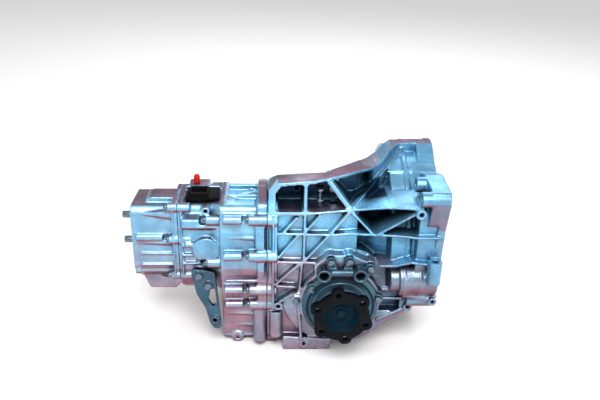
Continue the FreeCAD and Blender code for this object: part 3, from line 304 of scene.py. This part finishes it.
def cast_metal(name, gain=1.0, cool_above=-0.04, pocket=None):
    """Sand-cast aluminium with painted light and shade: pale blue flanks, mauve tops and reddish undersides
    painted by the way each face looks, painted shade in hollows and creases, and painted highlights on
    edges.

    The painted tones turn cool above a height. The pocket is the starter's, in the casting with the windows.
    """
    m = Nodes(name)
    place = m.xyz("Object")
    # Painted light and shade: each face takes its tone by how far it looks up, with a little noise
    lean = m.math("ADD", m.line(m.xyz("Normal")[Z], 0.5, 0.5), m.line(m.noise(11, 5), 0.10, -0.05))
    # Painted mauve shade reaches the up-facing tones only on the high tops and behind the truss
    lean = m.math("MINIMUM", lean, m.line(mauve_top_shading(m, place, pocket), 0.15, 0.92))
    drift = m.line(m.noise(9, 4), 1.1, -0.05 - COOL_SLOPE * cool_above)
    cool = m.math("ADD", m.line(place[Z], COOL_SLOPE, 0.0), drift, True)
    if pocket:
        cool = m.math("MINIMUM", cool, m.rise(m.distance(place[Y], place[Z], pocket), *STARTER_EDGE))
    # Blend of the low and the high painted light tones by height
    colour = m.mix(cool, m.ramp(lean, LOW_PAINTED_LIGHT_TONES), m.ramp(lean, HIGH_PAINTED_LIGHT_TONES))

    patches = m.greys(m.noise(17, 4), (0.44, 0), (0.62, 1))
    colour = m.mix(m.product(patches, PATCH_SHARE), colour, PATCH_COLOUR)
    colour = m.mix(STREAK_SHARE, colour, m.ramp(m.noise(26, 5, 0.7), STREAK_TONES), "MULTIPLY")

    # Painted shade in the hollows, darker where ambient occlusion finds them closed in
    hollow = m.add("ShaderNodeAmbientOcclusion", samples=6)
    hollow.inputs["Distance"].default_value = HOLLOW_SHADE_REACH
    shade = m.greys(hollow.outputs["AO"], (0.14, 1), (0.46, 0))
    colour = m.mix(m.product(shade, HOLLOW_SHADE_SHARE), colour, HOLLOW_SHADE_COLOUR)
    if pocket:
        # Painted shade in the near windows
        colour = m.mix(m.product(m.within(place, WINDOWS), WINDOW_SHADE_SHARE), colour, WINDOW_SHADE_COLOUR)
        # Painted light: the near side panels brightened
        colour = m.mix(m.product(m.within(place, PANELS), PANEL_LIGHT_SHARE), colour, PANEL_LIGHT_TINT, "MULTIPLY")

    point = m.add("ShaderNodeNewGeometry").outputs["Pointiness"]
    # Painted highlight on the sharp outer edges
    edge = m.greys(point, (0.55, 0), (0.62, 1))
    colour = m.mix(m.product(edge, EDGE_HIGHLIGHT_SHARE), colour, EDGE_HIGHLIGHT_COLOUR)
    # Painted shade in the creases
    crease_shade = m.greys(point, (0.41, 1), (0.483, 0))
    colour = m.mix(m.product(crease_shade, CREASE_SHADE_SHARE), colour, CREASE_SHADE_COLOUR)
    # Painted shade: the front of the casting, from the collar on, darkened
    if pocket:
        colour = m.mix(m.product(m.within(place, FRONT), FRONT_SHADE_SHARE), colour, FRONT_SHADE_TINT, "MULTIPLY")

    m.feed("Base Color", m.mix(1.0, colour, (gain, gain, gain), "MULTIPLY"))
    m.feed("Metallic", 0.65)
    m.feed("Specular IOR Level", 0.3)
    m.feed("Roughness", m.greys(m.noise(60, 3), (0.3, 0.24), (0.7, 0.40)))
    m.feed("Normal", m.bump(m.noise(900, 2, 0.6), 0.25, 0.0006))
    return m.made


def machined(name, colour, rough=0.28):
    """Turned or milled metal with fine tool marks."""
    m = Nodes(name)
    m.feed("Base Color", m.mix(m.noise(120, 3), tuple(c * 0.75 for c in colour), colour))
    m.feed("Metallic", 0.9)
    m.feed("Roughness", m.greys(m.noise(300, 2), (0.3, rough - 0.08), (0.7, rough + 0.1)))
    m.feed("Normal", m.bump(m.noise(1500, 1), 0.1, 0.0003))
    return m.made


def black_coat(name, colour, rough):
    """Satin black coating, a little dusty, with a painted teal reflection in the cup of the drive flange."""
    m = Nodes(name)
    place = m.xyz("Object")
    away = m.distance(place[X], place[Z], (DIFF_X * MM, DIFF_Z * MM))
    # Painted teal reflection in the cup of the drive flange
    cup = m.rise(away, 0.0325, 0.030)
    dust = m.greys(m.noise(35, 4), (0.45, 0), (0.75, 1))
    base = m.mix(m.product(dust, 0.2), colour, (0.008, 0.014, 0.020))
    m.feed("Base Color", m.mix(m.product(cup, 0.8), base, (0.002, 0.016, 0.032)))
    m.feed("Specular IOR Level", 0.07)
    m.feed("Roughness", m.greys(m.noise(90, 3), (0.3, rough - 0.06), (0.7, rough + 0.12)))
    m.feed("Normal", m.bump(m.noise(700, 2), 0.15, 0.0004))
    return m.made


def plastic(name, colour, rough):
    """Moulded plastic or rubber with a fine grain."""
    m = Nodes(name)
    m.feed("Base Color", m.mix(m.noise(40, 3), tuple(c * 0.8 for c in colour), colour))
    m.feed("Roughness", rough)
    m.feed("Specular IOR Level", 0.08)
    m.feed("Normal", m.bump(m.noise(1200, 2), 0.2, 0.0003))
    return m.made


# Meshes

def clean_copy(node):
    """A welded copy of a CAD node's mesh."""
    build = bmesh.new()
    build.from_mesh(nodes[node].data)
    bmesh.ops.remove_doubles(build, verts=build.verts, dist=1e-6)
    return build


def add_object(build, name):
    mesh = bpy.data.meshes.new(name)
    build.to_mesh(mesh)
    build.free()
    made = bpy.data.objects.new(name, mesh)
    bpy.context.scene.collection.objects.link(made)
    return made


def apply(made):
    """Bakes an object's modifiers into its mesh."""
    bpy.context.view_layer.update()
    graph = bpy.context.evaluated_depsgraph_get()
    mesh = bpy.data.meshes.new_from_object(made.evaluated_get(graph))
    old = made.data
    made.modifiers.clear()
    made.data = mesh
    bpy.data.meshes.remove(old)


def shade_smooth(made):
    made.data.polygons.foreach_set("use_smooth", [True] * len(made.data.polygons))


def box(build, x, y, z):
    """Block between two stations on each axis, in millimetres."""
    middle = Vector(((x[0] + x[1]) / 2, (y[0] + y[1]) / 2, (z[0] + z[1]) / 2)) * MM
    size = (abs(x[1] - x[0]) * MM, abs(y[1] - y[0]) * MM, abs(z[1] - z[0]) * MM, 1)
    bmesh.ops.create_cube(build, size=1, matrix=Matrix.Translation(middle) @ Matrix.Diagonal(size))


def rod(build, start, end, first, last=None):
    """Round bar or cone between two points, in millimetres."""
    last = first if last is None else last
    start, end = Vector(start) * MM, Vector(end) * MM
    turn = (end - start).to_track_quat("Z", "Y").to_matrix().to_4x4()
    place = Matrix.Translation((start + end) / 2) @ turn
    bmesh.ops.create_cone(build, cap_ends=True, segments=ROD_SIDES, radius1=first * MM, radius2=last * MM,
                          depth=(end - start).length, matrix=place)


def pipe(build, start, end, outer, inner, sides=48):
    """Ring or tube with an open bore, in millimetres."""
    start, end = Vector(start) * MM, Vector(end) * MM
    turn = (end - start).to_track_quat("Z", "Y")
    angles = [2 * math.pi * k / sides for k in range(sides)]
    ways = [turn @ Vector((math.cos(a), math.sin(a), 0)) for a in angles]
    loops = []
    for base, radius in ((start, inner), (start, outer), (end, outer), (end, inner)):
        loops.append([build.verts.new(base + way * radius * MM) for way in ways])
    for i in range(4):
        first, second = loops[i], loops[(i + 1) % 4]
        for k in range(sides):
            after = (k + 1) % sides
            build.faces.new((first[k], first[after], second[after], second[k]))


def carve(made, blocks):
    """Takes blocks out of an object, each given by its stations on the three axes."""
    build = bmesh.new()
    for block in blocks:
        box(build, *block)
    cutter = add_object(build, "cutter")
    tool = made.modifiers.new("carve", "BOOLEAN")
    tool.operation = "DIFFERENCE"
    tool.solver = "EXACT"
    tool.object = cutter
    apply(made)
    mesh = cutter.data
    bpy.data.objects.remove(cutter)
    bpy.data.meshes.remove(mesh)


def cast(node, voxel, steps, budget):
    """A casting with rounded edges, fillets and fine ribs in place of its CAD node."""
    made = add_object(clean_copy(node), node + "_cast")
    if node in GROOVES:
        carve(made, GROOVES[node])
    if node in DETAILS:
        build = bmesh.new()
        build.from_mesh(made.data)
        DETAILS[node](build)
        bmesh.ops.recalc_face_normals(build, faces=build.faces)
        build.to_mesh(made.data)
        build.free()
    remesh = made.modifiers.new("remesh", "REMESH")
    remesh.mode = "VOXEL"
    remesh.voxel_size = voxel * MM * FINE
    soften = made.modifiers.new("soften", "SMOOTH")
    soften.factor = 0.5
    soften.iterations = steps
    apply(made)
    triangles = 2 * len(made.data.polygons)
    if triangles > budget:
        thin = made.modifiers.new("thin", "DECIMATE")
        thin.ratio = budget / triangles
        apply(made)
    shade_smooth(made)
    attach(made, "housing")
    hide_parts(node)
    return made


def eased(node, width):
    """A CAD node with its sharp edges rounded, for turned, milled and moulded pieces."""
    build = clean_copy(node)
    bmesh.ops.dissolve_limit(build, angle_limit=math.radians(1), verts=build.verts, edges=build.edges)
    made = add_object(build, node + "_eased")
    bevel = made.modifiers.new("bevel", "BEVEL")
    bevel.width = width * MM
    bevel.segments = 2
    bevel.limit_method = "ANGLE"
    bevel.angle_limit = SHARP_EDGE
    bevel.harden_normals = True
    apply(made)
    shade_smooth(made)
    body = OWNER[node]
    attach(made, body)
    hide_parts(node)
    return made


def paint(made, material):
    made.data.materials.clear()
    made.data.materials.append(material)


# Fine detail of the castings, in millimetres

def clutch_detail(build):
    # Thin rib beside the main joint and thin bar on the collar
    box(build, (-304.5, -301.5), (-156, -140), (-112, 84))
    rod(build, (-92, -73, 137), (-46, -73, 137), 2.6)
    # Ring in the first window and ring low on the side
    pipe(build, (-261, -112, 121), (-261, -90, 121), 8, 4)
    pipe(build, (-258, -154, -84), (-258, -132, -84), 8, 4)
    # Tube under the starter, and its lip
    rod(build, (-62, -160, -73), (-6, -160, -86), 6.5, 7.5)
    pipe(build, (-6, -172, -86), (-6, -148, -86), 8, 4)
    # Struts over the hollow between the differential and the engine flange
    rod(build, (-121, -136, -80), (-58, -139, -76), 4)
    rod(build, (-112, -135, -100), (-54, -137, -98), 3.5)
    rod(build, (-103, -137, -148), (-46, -137, -119), 4)
    # Rings round the starter tube and the bell
    for x in (-63, -34, -6):
        pipe(build, (x - 1.5, STARTER_Y, STARTER_Z), (x + 1.5, STARTER_Y, STARTER_Z), 33.5, 28)
    pipe(build, (-62, 0, 0), (-54, 0, 0), 158, 150, 96)


def case_detail(build):
    # Draft ridges on the near side, each wider towards the main joint
    ridges = ((-141, -56, 4), (-129, -90, 5), (-117, -128, 4), (-115, -146, 5), (-109, -176, 6),
              (-141, 34, 4))
    for y, z, wide in ridges:
        rod(build, (-392, y, z), (-318, y - 1, z), 1.5, wide)
    # Raised lines across the deck
    rod(build, (-390, -116, 92), (-328, -58, 92), 3)
    rod(build, (-384, -96, 91), (-318, -30, 89), 2)
    # Pad at the main joint, lug and bar along the bottom
    box(build, (-336, -320), (-153, -138), (16, 62))
    pipe(build, (-372, -113, -206), (-372, -88, -206), 11, 4.5)
    rod(build, (-396, -106, -203), (-318, -106, -203), 4)


def transfer_detail(build):
    # Fin along the joint, ring above the ridge, block behind the connector and bar on the side
    box(build, (-472.5, -470), (-118, -104), (-58, 72))
    pipe(build, (-426, -122, 77), (-426, -100, 77), 8, 3.8)
    box(build, (-464, -424), (-34, -2), (72, 90))
    rod(build, (-466, -117, 7), (-420, -117, 7), 6)


def cover_detail(build):
    # Fin along the joint, long draft ridges and the ledge over the heel with its end
    box(build, (-488.5, -486), (-116, -96), (-60, 76))
    rod(build, (-546, -100, 62), (-488, -101, 62), 2, 10)
    rod(build, (-556, -98, 4), (-488, -100, 4), 5, 7)
    rod(build, (-558, -96, -60), (-480, -97, -60), 3.5)
    rod(build, (-564, -96, -60), (-554, -96, -60), 7)


def differential_detail(build):
    # Raised edge round the near cover and thin lips on the cooler ports
    pipe(build, (DIFF_X, -171, DIFF_Z), (DIFF_X, -164, DIFF_Z), 66, 62.5, 96)
    for x in (DIFF_X - 33, DIFF_X + 33):
        pipe(build, (x, -182, DIFF_Z + 72), (x, -176, DIFF_Z + 72), 13.5, 9.5)


DETAILS = {"clutch_housing": clutch_detail, "gear_case": case_detail, "transfer_housing": transfer_detail,
           "rear_cover": cover_detail, "differential_cover": differential_detail}

# Shallow grooves at the main joint, the hollow under the starter and the space beside the bottom lug
GROOVES = {"clutch_housing": [((-313, -305), (-165, -144), (14, 60)),
                              ((-313, -305), (-165, -144), (-64, -12)),
                              ((-110, -60), (-145, -117), (-128, -86))],
           "gear_case": [((-319, -312), (-165, -144), (14, 60)),
                         ((-319, -312), (-165, -144), (-64, -12)),
                         ((-405, -333), (-160, -66), (-230, -206))]}

# Each casting with its voxel in millimetres, its smoothing steps and its most triangles
CASTINGS = [("clutch_housing", 1.5, 2, 195000), ("gear_case", 1.8, 3, 90000),
            ("transfer_housing", 1.7, 3, 90000), ("rear_cover", 1.8, 3, 70000),
            ("differential_cover", 1.3, 3, 70000),
            ("far_differential_cover", 1.5, 3, 50000), ("mounting_bracket", 1.1, 3, 30000),
            ("control_cover", 1.4, 3, 20000)]

# Each turned, milled or moulded piece with the width of its rounded edges in millimetres
EASED = {"output_flange": 0.8, "far_output_flange": 0.8, "rear_flange": 0.8, "flange_screw": 0.5,
         "far_flange_screw": 0.5, "case_bolts": 0.5, "transfer_bolts": 0.5, "cover_bolts": 0.5,
         "differential_bolts": 0.5, "far_differential_bolts": 0.5, "control_bolts": 0.5,
         "bracket_bolts": 0.5, "connector": 0.8, "breather_cap": 0.8, "vent_pipe": 0.5, "filler_plug": 0.4,
         "rear_pins": 0.9, "selector_lever": 0.8, "dowels": 0.8}
GREYED = ("rear_pins", "differential_bolts", "bracket_bolts", "case_bolts", "transfer_bolts", "cover_bolts",
          "filler_plug")


# The part

make_camera()
make_world()
make_floor()
area_light("key", (-0.35, -2.0, 2.3), (-0.25, 0, 0), (1.6, 1.2), KEY_POWER)
area_light("fill", (1.5, -1.6, 0.9), (-0.2, 0, 0), (1.4, 1.4), FILL_POWER)
area_light("back", (0.2, 1.9, 1.8), (-0.3, 0, 0), (2.0, 1.2), BACK_POWER)

LOOKS = {"cast_aluminium": cast_metal("cast_aluminium"),
         "bright_steel": machined("bright_steel", (0.62, 0.66, 0.70)),
         "black_steel": black_coat("black_steel", (0.002, 0.003, 0.005), 0.42),
         "seal_rubber": plastic("seal_rubber", (0.012, 0.012, 0.014), 0.6),
         "black_plastic": plastic("black_plastic", (0.003, 0.003, 0.004), 0.6),
         "red_plastic": plastic("red_plastic", (0.62, 0.02, 0.01), 0.3)}
# The differential cover is darkened to a quarter, partly for dirt and partly as painted shade; the bracket
# is darkened to about a quarter
CAST_LOOKS = {"clutch_housing": cast_metal("housing_cast", 1.0, -0.09, (STARTER_Y * MM, STARTER_Z * MM)),
              "differential_cover": cast_metal("dirty_shaded_cast", 0.25, -0.4),
              "mounting_bracket": cast_metal("arm_cast", 0.26, -0.4)}
grey = machined("grey_steel", (0.16, 0.22, 0.28), 0.35)

SLOT = {part["node"]: part["material_slot"] for part in frame["record"]["subparts"]}
OWNER = {node: body for body, held in frame["record"]["behaviour"]["bodies"].items() for node in held}
for node, slot in SLOT.items():
    paint(nodes[node], LOOKS[slot])
for node, voxel, steps, budget in CASTINGS:
    paint(cast(node, voxel, steps, budget), CAST_LOOKS.get(node, LOOKS["cast_aluminium"]))
for node, width in EASED.items():
    paint(eased(node, width), grey if node in GREYED else LOOKS[SLOT[node]])

bpy.context.scene.view_settings.view_transform = "Standard"
